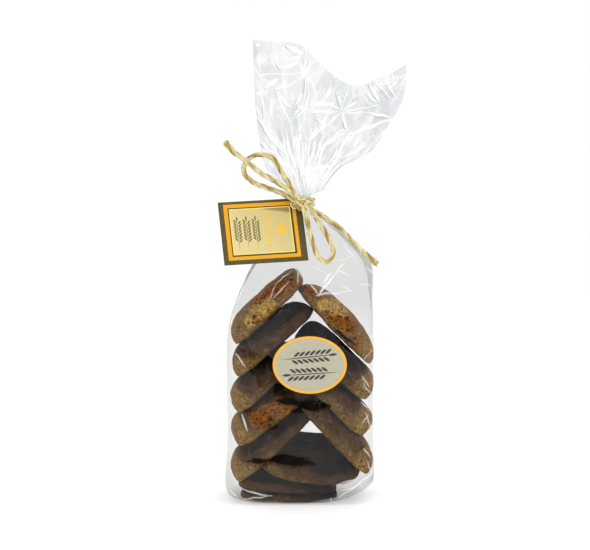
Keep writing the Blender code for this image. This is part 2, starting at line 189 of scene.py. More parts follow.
# The film. Its folds run out from the neck above and below the twine.
NECK_LEVEL = 208.0
SHOULDER_LEVEL = 150.0
MOUTH_LEVEL = 284.0
FILM_SUBDIVISIONS = 2
JOINING_ANGLE = math.radians(40.0)  # the most that triangles joined to a square may differ by
SHARPENINGS = ((2.6, 1.3), (1.4, 0.8), (0.7, 0.6))  # how near a mark an edge is split, and the least length
LOOSENINGS = ((0.25, 132.0, 168.0), (0.75, 196.0, 216.0))  # by how much, and between which levels
RADIAL_SCALES = (62.0, 0.42, 0.3)  # of the turn round the neck, the reach from it and the depth
PLAIN_SCALES = (0.9, 0.62, 0.9)  # of x, z and y below the shoulder
BACK_SHIFT = 60.0  # keeps the folds of the back apart from those of the front
FLARE_SHIFT = 130.0  # and those above the neck from those below
FACET_SIZE = 17.0
SMALL_FACET_SIZE = 7.0
CRUMPLE_SIZES = (19.0, 8.0)
FLARE_CRUMPLE = 1.6
BODY_CRUMPLE = 0.55
NECK_SMOOTH = 26.0  # how far from the twine the crumples and creases grow to their height
BASE_SMOOTH = 9.0  # and how far from the base
LABEL_SMOOTH = (1.05, 1.5)  # and from and to which share of the label's half size
CREASE_HEIGHT = 0.6
CORE_SHARE = 0.35  # of the width of a crease
WANDER = (7.0, 1.1)  # the size of a crease's wanderings and how far they go
PATCH_WANDER = (9.0, 1.6)
SHADE_OFFSET = np.array((0.7, 0.0, 0.5))  # of the painted grey shade line beside a crease's painted white highlight
BASE_COVER = 0.0006  # the share of the light that clear film scatters
VEIL_SHARE = 0.021  # and the share of the painted reflection veil on its front
FILM_IOR = 1.10
MOST_SHINE = 0.16

# Creases and glints in the film, with painted white highlights, seen from the front: x and z of both ends,
# and width.
FLARE_CREASES = (
    (-29, 296, 1, 297, 0.9), (-28, 296, -22, 296, 1.4), (-25, 287, -16, 293, 3.8),
    (-18, 285, -3, 292, 1.4), (-17, 284, -5, 257, 1.2), (-21, 280, -20, 265, 1.7),
    (-27, 284, -26, 266, 1.3), (-30, 266, -13, 242, 2.9), (-29, 305, -28, 299, 1.2),
    (-32, 315, -28, 317, 1.9), (-10, 316, 1, 310, 3.8), (-15, 300, 0, 304, 1.9),
    (-8, 306, 1, 311, 1.7), (-17, 305, -15, 300, 1.1), (-16, 283, -7, 273, 2.0),
    (-5, 275, 1, 283, 1.6), (-6, 266, 1, 275, 1.3), (3, 314, 3, 272, 0.7), (6, 306, 4, 289, 1.9),
    (6, 276, 24, 276, 2.4), (5, 270, 25, 271, 2.0), (3, 271, -5, 265, 1.0), (3, 271, -3, 275, 1.0),
    (3, 271, 6, 284, 1.0), (28, 272, 14, 278, 1.1), (17, 280, 21, 288, 3.1), (28, 272, 25, 284, 1.0),
    (28, 273, 32, 286, 1.1), (29, 272, 39, 277, 1.9), (30, 271, 54, 275, 1.1),
    (31, 270, 47, 270, 1.1), (29, 270, 32, 257, 2.4), (28, 270, 17, 261, 1.4),
    (17, 261, 4, 249, 1.7), (36, 286, 37, 278, 1.0), (45, 283, 53, 277, 2.2),
    (46, 291, 55, 277, 2.1), (51, 292, 61, 279, 1.4), (58, 293, 64, 281, 1.9),
    (60, 285, 68, 294, 1.6), (63, 266, 46, 270, 1.9), (63, 266, 33, 254, 3.2),
    (33, 254, 24, 239, 2.8), (50, 249, 26, 237, 1.1), (49, 256, 52, 250, 1.2),
    (63, 265, 51, 249, 1.3), (16, 261, 11, 266, 0.9), (4, 249, 12, 260, 2.0), (8, 243, 19, 257, 1.0),
    (11, 242, 29, 258, 2.8), (-3, 250, -1, 229, 2.8), (1, 230, 17, 233, 2.4), (4, 213, 6, 239, 3.3),
    (-2, 222, -11, 238, 2.8), (10, 230, 24, 234, 2.8), (8, 213, 12, 225, 1.9),
    (-28, 249, -9, 233, 2.4), (-20, 242, -6, 229, 1.9), (-10, 258, -8, 240, 1.3),
    (18, 247, 30, 256, 1.4),
)
BODY_CREASES = (
    (12, 145, 21, 157, 2.1), (12, 145, 27, 164, 1.5), (12, 145, 16, 152, 1.9),
    (12, 145, 34, 148, 0.9), (12, 145, 6, 153, 1.2), (10, 145, 20, 147, 1.1),
    (15, 153, 21, 161, 1.9), (26, 162, 33, 158, 1.2), (28, 151, 36, 148, 0.7),
    (40, 153, 48, 150, 0.7), (45, 162, 51, 158, 1.0), (-39, 154, -44, 139, 0.9),
    (-36, 162, -39, 155, 1.0), (29, 180, 38, 169, 1.7), (25, 168, 38, 172, 0.7),
    (24, 161, 30, 167, 1.4), (40, 183, 45, 176, 0.8), (6, 166, 15, 161, 0.7),
    (-22, 142, -17, 152, 0.6), (-17, 152, -7, 162, 0.6), (-19, 143, -8, 154, 0.6),
    (-4, 163, 1, 157, 1.2), (-2, 163, -3, 153, 0.9), (-45, 105, -39, 96, 1.2),
    (-41, 63, -36, 52, 2.0), (41, 90, 48, 81, 1.0), (43, 84, 49, 76, 0.8), (44, 63, 49, 52, 0.9),
    (42, 56, 47, 62, 0.7), (43, 39, 48, 32, 1.2), (45, 30, 49, 21, 0.9), (41, 72, 48, 64, 0.9),
    (25, 5, 51, 22, 1.6), (28, 10, 42, 15, 1.4), (40, 16, 44, 5, 1.2), (44, 10, 52, 15, 1.9),
    (25, 15, 39, 18, 0.9), (-40, 11, -24, 7, 1.7), (-20, 7, -40, 4, 1.1), (-49, 10, -44, 4, 1.5),
    (20, 1, 20, 5, 0.8), (-50, 39, -48, 33, 1.0), (-50, 78, -48, 70, 1.0), (43, 99, 49, 108, 0.6),
    (-49, 124, -46, 131, 0.7),
)
# Places on the film's front left clear of the painted reflection veil.
CLEAR_PATCHES = (
    (-12, 158, -23, 142, 13.5), (-23, 142, -34, 137, 12.3), (-14, 137, -34, 126, 7.9),
    (18, 130, 36, 122, 12.3), (15, 142, 2, 152, 5.6), (-43, 108, -28, 95, 10.1),
    (-35, 104, -19, 90, 16.8), (-19, 99, -29, 83, 12.3), (-17, 73, 3, 66, 10.1),
    (-38, 66, -17, 55, 12.3), (-4, 70, 20, 68, 8.4), (-23, 33, 9, 29, 9.0), (-38, 30, -20, 30, 5.6),
    (-18, 83, -4, 73, 13.5), (12, 131, 6, 137, 3.4), (21, 121, 41, 104, 6.7),
)


def add_object(name, data):
    obj = bpy.data.objects.new(name, data)
    bpy.context.scene.collection.objects.link(obj)
    return obj


def mesh_object(name, points, faces):
    """A smooth mesh object from points in millimetres."""
    data = bpy.data.meshes.new(name)
    data.from_pydata((np.asarray(points) * MM).tolist(), [], faces)
    data.validate()
    data.shade_smooth()
    return add_object(name, data)


def ride_for(piece, node):
    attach(piece, "root")
    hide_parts(node)


def step_between(low, high, value):
    """0 below low, 1 above high, and smooth between them."""
    share = np.clip((value - low) / (high - low), 0.0, 1.0)
    return share * share * (3.0 - 2.0 * share)


def set_attribute(data, name, kind, values):
    attribute = data.attributes.new(name, kind, "POINT")
    key = {"FLOAT": "value", "FLOAT_VECTOR": "vector", "FLOAT_COLOR": "color"}[kind]
    attribute.data.foreach_set(key, np.asarray(values, dtype=np.float32).ravel())


def points_and_normals(data):
    """The places of the vertices in millimetres, and their normals."""
    points, normals = np.empty(len(data.vertices) * 3), np.empty(len(data.vertices) * 3)
    data.vertices.foreach_get("co", points)
    data.vertex_normals.foreach_get("vector", normals)
    return points.reshape(-1, 3) / MM, normals.reshape(-1, 3)


def move_vertices(data, points):
    data.vertices.foreach_set("co", (points * MM).ravel())
    data.update()


def noise_at(points, size, shift=0.0):
    """Smooth noise of about -1 to 1 at each point, with bumps of this size."""
    moved = points / size + shift
    return np.array([noise.noise(Vector(point)) for point in moved])


def smooth_path(stations, step):
    """Points about a step apart on a smooth curve through the stations."""
    stations = [Vector(s) for s in stations]
    ends = [stations[0] * 2 - stations[1], *stations, stations[-1] * 2 - stations[-2]]
    fine = []
    for a, b, c, d in zip(ends, ends[1:], ends[2:], ends[3:]):
        for t in (k / CURVE_STEPS for k in range(CURVE_STEPS)):
            fine.append(
                0.5
                * (
                    2.0 * b
                    + (c - a) * t
                    + (2.0 * a - 5.0 * b + 4.0 * c - d) * t * t
                    + (3.0 * b - a - 3.0 * c + d) * t * t * t
                )
            )
    fine.append(stations[-1])
    fine = np.array([tuple(p) for p in fine])
    lengths = np.concatenate([[0.0], np.cumsum(np.linalg.norm(np.diff(fine, axis=0), axis=1))])
    count = max(int(round(lengths[-1] / step)) + 1, 3)
    places = np.linspace(0.0, lengths[-1], count)
    return np.stack([np.interp(places, lengths, fine[:, k]) for k in range(3)], axis=1)


def feed(tree, made, inputs):
    """Links the inputs of a node that are given as sockets, and sets the others on it."""
    for name, value in inputs.items():
        if isinstance(value, bpy.types.NodeSocket):
            tree.links.new(value, made.inputs[name])
        else:
            made.inputs[name].default_value = value


def node(tree, kind, inputs=None, **settings):
    """A node with these settings and inputs. kind is its type without ShaderNode in front."""
    made = tree.nodes.new("ShaderNode" + kind)
    for name, value in settings.items():
        setattr(made, name, value)
    feed(tree, made, inputs or {})
    return made


def calc(tree, operation, first, second=0.0, clamp=False):
    inputs = {0: first, 1: second}
    made = node(tree, "Math", inputs, operation=operation, use_clamp=clamp)
    return made.outputs[0]


def minus(tree, first, second):
    return calc(tree, "SUBTRACT", first, second)


def times(tree, first, second):
    return calc(tree, "MULTIPLY", first, second)


def ramp(tree, value, low, high, start=0.0, end=1.0):
    """start below low, end above high, and smooth between them."""
    inputs = {0: value, 1: low, 2: high, 3: start, 4: end}
    made = node(tree, "MapRange", inputs, interpolation_type="SMOOTHSTEP")
    return made.outputs[0]


def blend(tree, share, first, second):
    """The first colour at share 0, the second at 1."""
    first, second = ((*colour, 1.0) if isinstance(colour, tuple) else colour for colour in (first, second))
    return node(tree, "Mix", {0: share, 6: first, 7: second}, data_type="RGBA").outputs[2]


def grain(tree, where, scale, detail=2.0, roughness=0.5):
    """Noise of 0 to 1."""
    inputs = {"Vector": where, "Scale": scale, "Detail": detail, "Roughness": roughness}
    return node(tree, "TexNoise", inputs).outputs["Fac"]


def cells(tree, where, scale, feature="F1"):
    inputs = {"Vector": where, "Scale": scale}
    return node(tree, "TexVoronoi", inputs, feature=feature).outputs


def attribute(tree, name):
    return node(tree, "Attribute", attribute_name=name)


def channels(tree, colour):
    return node(tree, "SeparateColor", {0: colour}).outputs


def place_in_mm(tree):
    """The point's place in millimetres."""
    where = node(tree, "TexCoord").outputs["Object"]
    inputs = {0: where, "Scale": 1.0 / MM}
    return node(tree, "VectorMath", inputs, operation="SCALE").outputs[0]


def dot(tree, vector, direction):
    inputs = {0: vector, 1: direction}
    return node(tree, "VectorMath", inputs, operation="DOT_PRODUCT").outputs["Value"]


def bump(tree, height, distance_mm, strength=1.0, under=None):
    inputs = {"Height": height, "Distance": distance_mm * MM, "Strength": strength}
    if under is not None:
        inputs["Normal"] = under
    return node(tree, "Bump", inputs).outputs["Normal"]


def new_material(name):
    """A material with its tree and Principled shader."""
    material = bpy.data.materials.new(name)
    material.use_nodes = True
    tree = material.node_tree
    return material, tree, tree.nodes["Principled BSDF"]


def film_material():
    """Clear film: faint grey, with painted white highlights on its creases and facets, a painted reflection
    veil, painted grey shade lines beside the creases, and gloss that grows to the edges.
    """
    material, tree, white_layer = new_material("clear_film")
    folds = attribute(tree, "folds").outputs["Vector"]
    crease, shade, veil = channels(tree, attribute(tree, "marks").outputs["Color"])
    loose = attribute(tree, "loose").outputs["Fac"]

    facets = cells(tree, folds, 1.0 / FACET_SIZE)
    small_facets = cells(tree, folds, 1.0 / SMALL_FACET_SIZE)
    edges = cells(tree, folds, 1.0 / SMALL_FACET_SIZE, "DISTANCE_TO_EDGE")["Distance"]
    facet = channels(tree, facets["Color"])[0]
    small_facet = channels(tree, small_facets["Color"])[1]
    cloud = grain(tree, folds, 0.12, 3.0)
    squeezed = node(tree, "VectorMath", {0: folds, 1: (1.0, 0.42, 1.0)}, operation="MULTIPLY")
    fine = grain(tree, squeezed.outputs[0], 0.36, 2.0, 0.5)

    # Painted highlights: white glints, streaks, facets and creases where the crumpled film would catch the
    # light.
    glints = times(tree, ramp(tree, edges, 0.0, 0.05, 1.0, 0.0), ramp(tree, cloud, 0.52, 0.62))
    glints = times(tree, glints, ramp(tree, loose, 0.0, 1.0, 0.03, 0.60))
    reach = node(tree, "SeparateXYZ", {0: folds}).outputs[1]
    pinched = times(tree, ramp(tree, reach, 6.0, 30.0, 1.0, 0.0), ramp(tree, loose, 0.3, 0.9))
    level = calc(tree, "ADD", fine, times(tree, pinched, 0.09))
    streaks = times(tree, ramp(tree, level, 0.58, 0.64), ramp(tree, pinched, 0.0, 1.0, 0.22, 0.80))
    streaks = times(tree, streaks, ramp(tree, loose, 0.1, 0.9))
    facet_white = times(tree, ramp(tree, small_facet, 0.55, 0.95), ramp(tree, cloud, 0.42, 0.62))
    facet_white = times(tree, facet_white, ramp(tree, loose, 0.1, 1.0, 0.0, 0.22))
    streaked = times(tree, crease, ramp(tree, loose, 0.1, 0.9, 0.75, 0.95))
    white = calc(tree, "MAXIMUM", calc(tree, "MAXIMUM", glints, facet_white), streaked)
    white = calc(tree, "MAXIMUM", white, streaks)
    # Painted reflection: the veil that whitens the film's front.
    veil_share = times(tree, veil, ramp(tree, facet, 0.30, 0.34, VEIL_SHARE * 0.7, VEIL_SHARE))
    cover = calc(tree, "ADD", white, veil_share)
    cover = calc(tree, "ADD", cover, BASE_COVER, clamp=True)

    height = times(tree, facets["Distance"], facets["Distance"])
    small_height = times(tree, small_facets["Distance"], small_facets["Distance"])
    relief = bump(tree, small_height, 0.5, 0.8, bump(tree, height, 1.6, 0.9))

    tint = blend(tree, loose, (0.818, 0.817, 0.811), (0.960, 0.964, 0.968))
    facet_grey = times(tree, ramp(tree, small_facet, 0.2, 0.9), loose)
    tint = blend(tree, facet_grey, tint, (0.845, 0.858, 0.868))
    pinched_grey = times(tree, pinched, ramp(tree, level, 0.50, 0.44))
    tint = blend(tree, pinched_grey, tint, (0.76, 0.78, 0.79))
    turned = node(tree, "LayerWeight", {"Blend": 0.5, "Normal": relief}).outputs["Facing"]
    turned = times(tree, ramp(tree, turned, 0.15, 0.85), ramp(tree, loose, 0.0, 1.0, 0.08, 0.24))
    tint = blend(tree, turned, tint, (0.74, 0.76, 0.78))
    # Painted shade: grey lines beside the creases.
    tint = blend(tree, shade, tint, (0.60, 0.63, 0.65))
    clear = node(tree, "BsdfTransparent", {"Color": tint})
    feed(tree, white_layer, {"Base Color": (0.95, 0.96, 0.97, 1.0), "Roughness": 0.3, "Normal": relief})
    body = node(tree, "MixShader", {0: cover, 1: clear.outputs[0], 2: white_layer.outputs[0]})
    shine = node(tree, "BsdfGlossy", {"Roughness": 0.08, "Normal": relief})
    edge = node(tree, "Fresnel", {"IOR": FILM_IOR}).outputs[0]
    edge = calc(tree, "MINIMUM", edge, MOST_SHINE)
    film = node(tree, "MixShader", {0: edge, 1: body.outputs[0], 2: shine.outputs[0]})
    feed(tree, tree.nodes["Material Output"], {"Surface": film.outputs[0]})
    return material


def crust_material():
    """Baked crust: orange-brown with pits and cracks, and painted shade that darkens it through brown to near
    black.
    """
    material, tree, shader = new_material("biscotti_crust")
    where = place_in_mm(tree)
    painted_shade, vivid, pale = channels(tree, attribute(tree, "crust").outputs["Color"])

    broad = grain(tree, where, 0.10, 3.0)
    medium = grain(tree, where, 0.42, 3.0, 0.55)
    fine = grain(tree, where, 1.5, 3.0, 0.6)
    pit_here = ramp(tree, grain(tree, where, 0.15, 2.0), 0.48, 0.60)
    pit_here = calc(tree, "MAXIMUM", times(tree, pit_here, 0.7), vivid)
    pits = ramp(tree, cells(tree, where, 0.40)["Distance"], 0.26, 0.42, 1.0, 0.0)
    pits = times(tree, pits, pit_here)
    pits = times(tree, pits, ramp(tree, fine, 0.38, 0.48))
    specks = ramp(tree, cells(tree, where, 0.42)["Distance"], 0.22, 0.32, 1.0, 0.0)
    specks = times(tree, specks, ramp(tree, medium, 0.46, 0.52))
    crumbs = ramp(tree, cells(tree, where, 0.30)["Distance"], 0.11, 0.16, 1.0, 0.0)
    crumbs = times(tree, crumbs, ramp(tree, fine, 0.48, 0.54))
    cracks = ramp(tree, cells(tree, where, 0.16, "DISTANCE_TO_EDGE")["Distance"], 0.02, 0.07, 1.0, 0.0)
    cracks = times(tree, cracks, ramp(tree, medium, 0.53, 0.60))

    mottled = ramp(tree, medium, 0.36, 0.64)
    baked = blend(tree, mottled, (0.138, 0.071, 0.016), (0.290, 0.167, 0.041))
    browner = times(tree, ramp(tree, broad, 0.44, 0.62), 0.4)
    baked = blend(tree, browner, baked, (0.17, 0.085, 0.026))
    orange = blend(tree, mottled, (0.195, 0.058, 0.004), (0.345, 0.113, 0.010))
    baked = blend(tree, vivid, baked, orange)
    golden = blend(tree, ramp(tree, medium, 0.40, 0.60), (0.360, 0.190, 0.040), (0.620, 0.400, 0.100))
    baked = blend(tree, pale, baked, golden)
    # Painted shade: the crust darkens through brown to near black where the biscuit is shaded, and its
    # specks, cracks, crumbs and pits fade there.
    brown = blend(tree, mottled, (0.046, 0.0205, 0.0068), (0.090, 0.043, 0.0140))
    shade_black = blend(tree, mottled, (0.0055, 0.0032, 0.0022), (0.0130, 0.0078, 0.0053))
    colour = blend(tree, ramp(tree, painted_shade, 0.10, 0.50), baked, brown)
    colour = blend(tree, ramp(tree, painted_shade, 0.55, 0.95), colour, shade_black)
    unshaded = ramp(tree, painted_shade, 0.3, 0.8, 1.0, 0.0)
    marked = times(tree, calc(tree, "MAXIMUM", specks, cracks), times(tree, unshaded, 0.85))
    colour = blend(tree, marked, colour, (0.022, 0.009, 0.004))
    crumbs = times(tree, crumbs, ramp(tree, unshaded, 0.0, 1.0, 0.10, 0.6))
    colour = blend(tree, crumbs, colour, (0.40, 0.31, 0.20))
    hole = attribute(tree, "hole").outputs["Fac"]
    pits = times(tree, pits, ramp(tree, painted_shade, 0.3, 0.8, 0.92, 0.0))
    pits = calc(tree, "MAXIMUM", pits, hole)
    colour = blend(tree, pits, colour, (0.018, 0.006, 0.002))

    relief = calc(tree, "ADD", times(tree, medium, 0.9), times(tree, fine, 0.16))
    relief = minus(tree, relief, pits)
    relief = minus(tree, relief, times(tree, marked, 0.5))
    relief = times(tree, relief, ramp(tree, painted_shade, 0.1, 0.7, 1.0, 0.04))
    uneven = ramp(tree, fine, 0.3, 0.7, 0.50, 0.78)
    roughness = calc(tree, "MAXIMUM", uneven, ramp(tree, painted_shade, 0.3, 0.7, 0.0, 0.85))
    specular = ramp(tree, painted_shade, 0.4, 0.9, 0.09, 0.03)
    feed(tree, shader, {"Base Color": colour, "Roughness": roughness, "Specular IOR Level": specular})
    feed(tree, shader, {"Normal": bump(tree, relief, 0.8, 0.8)})
    return material


def twine_material():
    """Straw twine: pale cream strands with golden-brown stretches and fine fibres along them."""
    material, tree, shader = new_material("straw_twine")
    fibre = attribute(tree, "fibre").outputs["Vector"]
    golden = attribute(tree, "golden").outputs["Fac"]
    streaks = grain(tree, fibre, 1.0, 4.0, 0.6)
    wide_streaks = grain(tree, fibre, 0.35, 2.0)
    cream = blend(tree, ramp(tree, streaks, 0.35, 0.65), (0.43, 0.36, 0.135), (0.80, 0.73, 0.43))
    gold = blend(tree, ramp(tree, streaks, 0.35, 0.65), (0.20, 0.105, 0.012), (0.48, 0.30, 0.050))
    share = calc(tree, "ADD", golden, minus(tree, wide_streaks, 0.52), clamp=True)
    feed(tree, shader, {"Base Color": blend(tree, share, cream, gold), "Roughness": 0.62})
    feed(tree, shader, {"Sheen Weight": 0.15, "Normal": bump(tree, streaks, 0.25, 0.8)})
    return material


def oval_at(tree, across, up, middle, half, turn=0.0):
    """1 inside an oval in the plane of across and up, with a soft edge."""
    cosine, sine = math.cos(turn), math.sin(turn)
    dx = minus(tree, across, middle[0])
    dz = minus(tree, up, middle[1])
    along = calc(tree, "ADD", times(tree, dx, cosine / half[0]), times(tree, dz, sine / half[0]))
    side = minus(tree, times(tree, dz, cosine / half[1]), times(tree, dx, sine / half[1]))
    reach = calc(tree, "SQRT", calc(tree, "ADD", times(tree, along, along), times(tree, side, side)))
    soft = PRINT_SOFTNESS / min(half)
    return ramp(tree, reach, 1.0 - soft, 1.0 + soft, 1.0, 0.0)


def box_at(tree, across, up, low, high):
    """1 inside a rectangle in the plane of across and up."""
    inside = None
    for value, start, end in ((across, low[0], high[0]), (up, low[1], high[1])):
        for edge, sign in ((start, 1.0), (end, -1.0)):
            here = ramp(tree, value, edge - PRINT_SOFTNESS / 2.0, edge + PRINT_SOFTNESS / 2.0)
            if sign < 0.0:
                here = minus(tree, 1.0, here)
            inside = here if inside is None else times(tree, inside, here)
    return inside


def union(tree, masks):
    found = masks[0]
    for mask in masks[1:]:
        found = calc(tree, "MAXIMUM", found, mask)
    return found


def wheat_ear(tree, across, up, start, direction, grains, size=1.0):
    """A stem with pairs of grains and an end grain, as printed on a label."""
    cosine, sine = math.cos(direction), math.sin(direction)
    unshaded, pitch = 5.0 * size, 2.1 * size
    tip = unshaded + pitch * grains
    middle = (start[0] + cosine * tip / 2.0, start[1] + sine * tip / 2.0)
    masks = [oval_at(tree, across, up, middle, (tip / 2.0, 0.22 * size), direction)]
    for index in range(grains):
        for side in (1.0, -1.0):
            reach = unshaded + pitch * (index + 0.25 * side)
            aside = side * 1.5 * size
            place = (start[0] + cosine * reach - sine * aside, start[1] + sine * reach + cosine * aside)
            turn = direction + side * 0.62
            masks.append(oval_at(tree, across, up, place, (1.45 * size, 0.50 * size), turn))
    place = (start[0] + cosine * tip, start[1] + sine * tip)
    masks.append(oval_at(tree, across, up, place, (1.6 * size, 0.5 * size), direction))
    return union(tree, masks)


def label_material():
    """Cream paper with an orange rim and two printed ears of wheat."""
    material, tree, shader = new_material("label_paper")
    where = place_in_mm(tree)
    across = minus(tree, dot(tree, where, (1.0, 0.0, 0.0)), float(LABEL_MIDDLE[0]))
    up = minus(tree, dot(tree, where, (0.0, 0.0, 1.0)), float(LABEL_MIDDLE[2]))
    half = (float(LABEL_HALF[0]), float(LABEL_HALF[2]))
    rim, line, inner = (
        oval_at(tree, across, up, (0.0, 0.0), (half[0] - margin, half[1] - margin)) for margin in LABEL_RIM
    )
    fibres = grain(tree, where, 0.5, 4.0, 0.6)
    paper = blend(tree, ramp(tree, fibres, 0.3, 0.7), (0.395, 0.368, 0.268), (0.435, 0.405, 0.298))
    left_ear = wheat_ear(tree, across, up, (-18.0, 3.8), 0.10, 7, 1.72)
    right_ear = wheat_ear(tree, across, up, (18.0, -5.0), math.pi + 0.06, 7, 1.72)
    ears = union(tree, [left_ear, right_ear])
    paper = blend(tree, times(tree, ears, 0.96), paper, (0.012, 0.010, 0.008))
    colour = blend(tree, inner, (0.62, 0.36, 0.04), paper)
    orange = calc(tree, "SUBTRACT", rim, line, clamp=True)
    colour = blend(tree, orange, colour, (0.90, 0.40, 0.016))
    edge = minus(tree, 1.0, rim)
    colour = blend(tree, edge, colour, (0.10, 0.055, 0.02))
    relief = bump(tree, fibres, 0.05, 0.6)
    feed(tree, shader, {"Base Color": colour, "Roughness": 0.5, "Normal": relief})
    return material


def tag_material():
    """Card printed olive, orange and gold in nested borders, with ears of wheat, beads and a rosette."""
    material, tree, shader = new_material("tag_card")
    where = place_in_mm(tree)
    down_axis = (TAG_DOWN - TAG_ALONG * TAG_DOWN.dot(TAG_ALONG)).normalized()
    corner_right = TAG_CORNER.dot(TAG_ALONG)
    corner_down = TAG_CORNER.dot(down_axis)
    across = minus(tree, dot(tree, where, tuple(TAG_ALONG)), corner_right - TAG_SIZE[0])
    up = minus(tree, corner_down + TAG_SIZE[1], dot(tree, where, tuple(down_axis)))
    width, height = TAG_SIZE

    def frame_inside(left, bottom, right, top):
        return box_at(tree, across, up, (left, bottom), (width - right, height - top))

    orange = frame_inside(3.4, 3.0, 4.6, 2.0)
    dark_line = frame_inside(6.2, 5.6, 7.0, 4.7)
    bright = frame_inside(7.0, 6.7, 8.4, 5.5)
    panel = frame_inside(7.7, 7.4, 9.1, 6.2)
    fibres = grain(tree, where, 0.9, 4.0, 0.6)
    olive = blend(tree, ramp(tree, fibres, 0.3, 0.7), (0.056, 0.042, 0.010), (0.104, 0.080, 0.022))
    sweep = calc(tree, "ADD", times(tree, across, 0.012), times(tree, up, 0.010))
    gold = blend(tree, ramp(tree, sweep, 0.25, 0.95), (0.64, 0.53, 0.24), (0.54, 0.43, 0.17))
    colour = blend(tree, orange, olive, (0.70, 0.325, 0.005))
    colour = blend(tree, dark_line, colour, (0.045, 0.030, 0.010))
    colour = blend(tree, bright, colour, (0.80, 0.64, 0.16))
    colour = blend(tree, panel, colour, gold)
    slant = times(tree, minus(tree, across, 26.0), 0.20)
    wedge = calc(tree, "ADD", minus(tree, up, height - 6.2), slant)
    reflected = times(tree, ramp(tree, wedge, -0.6, 1.6), ramp(tree, across, 18.0, 34.0))
    reflected = times(tree, reflected, times(tree, panel, 0.8))
    colour = blend(tree, reflected, colour, (0.20, 0.155, 0.035))
    rosette = [
        oval_at(tree, across, up, (42.0 + 2.3 * math.cos(a), 24.0 + 2.3 * math.sin(a)), (1.7, 0.8), a)
        for a in (math.pi * k / 4.0 for k in range(8))
    ]
    beads = [oval_at(tree, across, up, (33.0, 12.5 + 3.5 * k), (1.3, 0.9), 0.5) for k in range(8)]
    shining = union(tree, rosette + beads)
    colour = blend(tree, times(tree, shining, panel), colour, (0.80, 0.44, 0.02))
    sprigs = [wheat_ear(tree, across, up, (x, 12.5), math.pi / 2.0, 7, 1.05) for x in (11.8, 18.2, 24.5)]
    colour = blend(tree, times(tree, union(tree, sprigs), 0.92), colour, (0.062, 0.052, 0.022))
    facing = node(tree, "NewGeometry").outputs["Normal"]
    outward = down_axis.cross(TAG_ALONG).normalized()
    front = ramp(tree, dot(tree, facing, tuple(outward)), 0.2, 0.6)
    colour = blend(tree, front, olive, colour)
    shiny = times(tree, union(tree, [bright, shining]), front)
    roughness = ramp(tree, shiny, 0.0, 1.0, 0.42, 0.22)
    relief = bump(tree, fibres, 0.05, 0.5)
    feed(tree, shader, {"Base Color": colour, "Roughness": roughness, "Normal": relief})
    feed(tree, shader, {"Specular IOR Level": 0.3})
    return material


def film_folds(points, normals):
    """Coordinates that stretch along the film's folds, and how loose the film is, from 0 to 1."""
    x, y, z = points.T
    dx, dz = x - NECK_X, z - NECK_LEVEL
    reach = np.hypot(dx, dz)
    turn = np.arctan2(dx, np.abs(dz) + 4.0)
    side = np.where(normals[:, 1] > 0.0, BACK_SHIFT, 0.0) + np.where(dz > 0.0, FLARE_SHIFT, 0.0)
    radial = np.stack([turn, reach, y], axis=1) * RADIAL_SCALES
    plain = np.stack([x, z, y], axis=1) * PLAIN_SCALES
    fan = step_between(SHOULDER_LEVEL - 14.0, SHOULDER_LEVEL + 14.0, z)[:, None]
    folds = plain * (1.0 - fan) + radial * fan
    folds[:, 2] += side
    loose = sum(amount * step_between(low, high, z) for amount, low, high in LOOSENINGS)
    return folds, loose


def crumple(folds, size):
    """Facets with sharp ridges between them, about -0.5 to 0.5."""
    found = np.empty(len(folds))
    for index, point in enumerate(folds / size):
        nearest = noise.voronoi(Vector(point))[0][0]
        found[index] = nearest * nearest
    return found - found.mean()


def stroke_marks(points, strokes, soft=0.35, halo=0.0):
    """From 0 to 1, how much lens-shaped strokes mark each point, seen from the front.

    With a halo, only the core of a stroke is marked in full, and the rest of it by that much.
    """
    flat = points[:, (0, 2)]
    marks = np.zeros(len(points))
    for x0, z0, x1, z1, width in strokes:
        start = np.array((x0, z0), dtype=float)
        along = np.array((x1 - x0, z1 - z0), dtype=float)
        offset = flat - start
        share = np.clip(offset @ along / (along @ along), 0.0, 1.0)
        distance = np.linalg.norm(offset - share[:, None] * along, axis=1)
        half = width / 2.0 * (0.25 + 0.75 * np.sin(math.pi * share))
        inside = 1.0 - step_between(half - soft, half + soft, distance)
        if halo:
            core = half * CORE_SHARE
            inside = inside * halo + (1.0 - step_between(core - soft, core + soft, distance)) * (1.0 - halo)
        marks = np.maximum(marks, inside)
    return marks


def film_mesh():
    """The bag solid's skin without the cap over its mouth, with smaller faces."""
    mesh = bmesh.new()
    mesh.from_mesh(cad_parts["bag"].data)
    bmesh.ops.remove_doubles(mesh, verts=mesh.verts, dist=0.01 * MM)
    bmesh.ops.join_triangles(
        mesh, faces=mesh.faces, angle_face_threshold=JOINING_ANGLE, angle_shape_threshold=JOINING_ANGLE
    )
    mouth = [
        face
        for face in mesh.faces
        if face.calc_center_median().z > MOUTH_LEVEL * MM and face.normal.z > 0.5
    ]
    bmesh.ops.delete(mesh, geom=mouth, context="FACES")
    data = bpy.data.meshes.new("film")
    mesh.to_mesh(data)
    mesh.free()
    coarse = add_object("coarse_film", data)
    coarse.modifiers.new("smooth", "SUBSURF").levels = FILM_SUBDIVISIONS
    bpy.context.view_layer.update()
    graph = bpy.context.evaluated_depsgraph_get()
    fine = bpy.data.meshes.new_from_object(coarse.evaluated_get(graph))
    bpy.data.objects.remove(coarse)
    fine.name = "film"
    return fine


def warped(points, size, amount):
    """The points shifted by smooth noise, so that strokes laid on them wander."""
    shifts = [noise_at(points, size, shift) for shift in (3.0, 8.0, 13.0)]
    return points + amount * np.stack(shifts, axis=1)


def patch_marks(points):
    """From 0 to 1, where the film's front is left clear of the painted reflection veil."""
    return stroke_marks(warped(points, *PATCH_WANDER), CLEAR_PATCHES)


